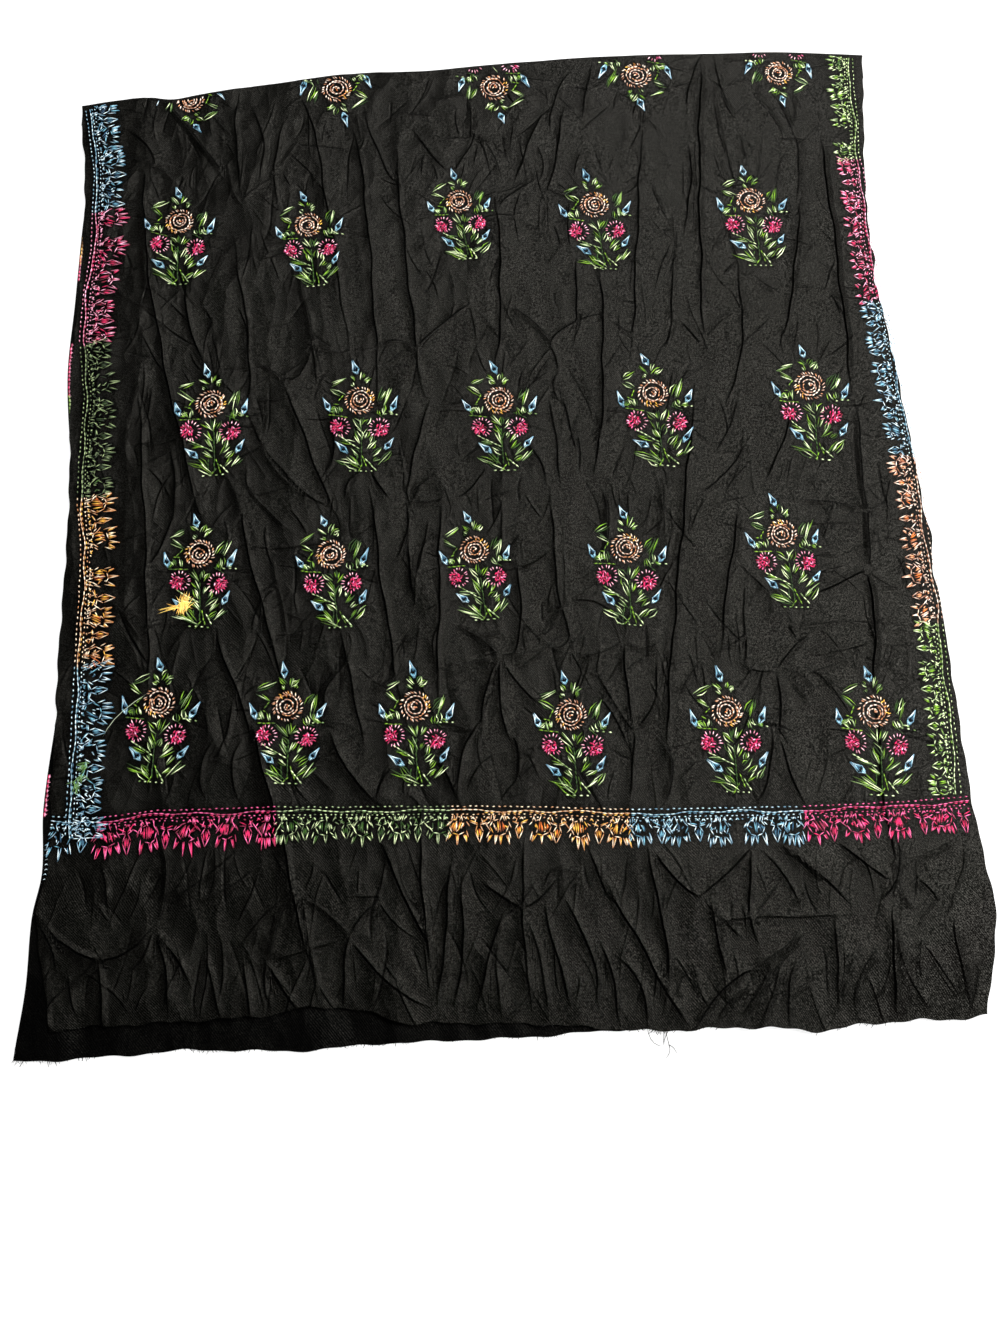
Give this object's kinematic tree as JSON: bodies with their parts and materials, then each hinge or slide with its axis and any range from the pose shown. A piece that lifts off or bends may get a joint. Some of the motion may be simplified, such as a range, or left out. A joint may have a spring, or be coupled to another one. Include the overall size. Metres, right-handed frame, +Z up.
{
  "type": "embroidered textile panel",
  "caption": "Black twill wool stole with embroidered flower bouquets and a floral border, folded once across and laid flat with frayed cut ends.",
  "frame": {"origin": "middle of the box, on the surface that the cloth lies on", "axes": "+X across the cloth to the viewer's right, +Y along it from the cut ends to the fold, +Z up"},
  "size_m": [0.9114, 1.0674, 0.0125],
  "materials": {
    "upper_twill": "matt black wool twill with a soft nap and pressed creases",
    "lower_twill": "matt black wool twill, flat",
    "upper_yarn": "loose black wool yarn ends",
    "lower_yarn": "loose black wool yarn ends",
    "embroidery": "soft wool embroidery thread in peach, gold, magenta, blue and green"
  },
  "bodies": {
    "root": {"front_stretch": "upper_twill", "back_stretch": "lower_twill", "front_fray": "upper_yarn", "back_fray": "lower_yarn"}
  },
  "joints": []
}
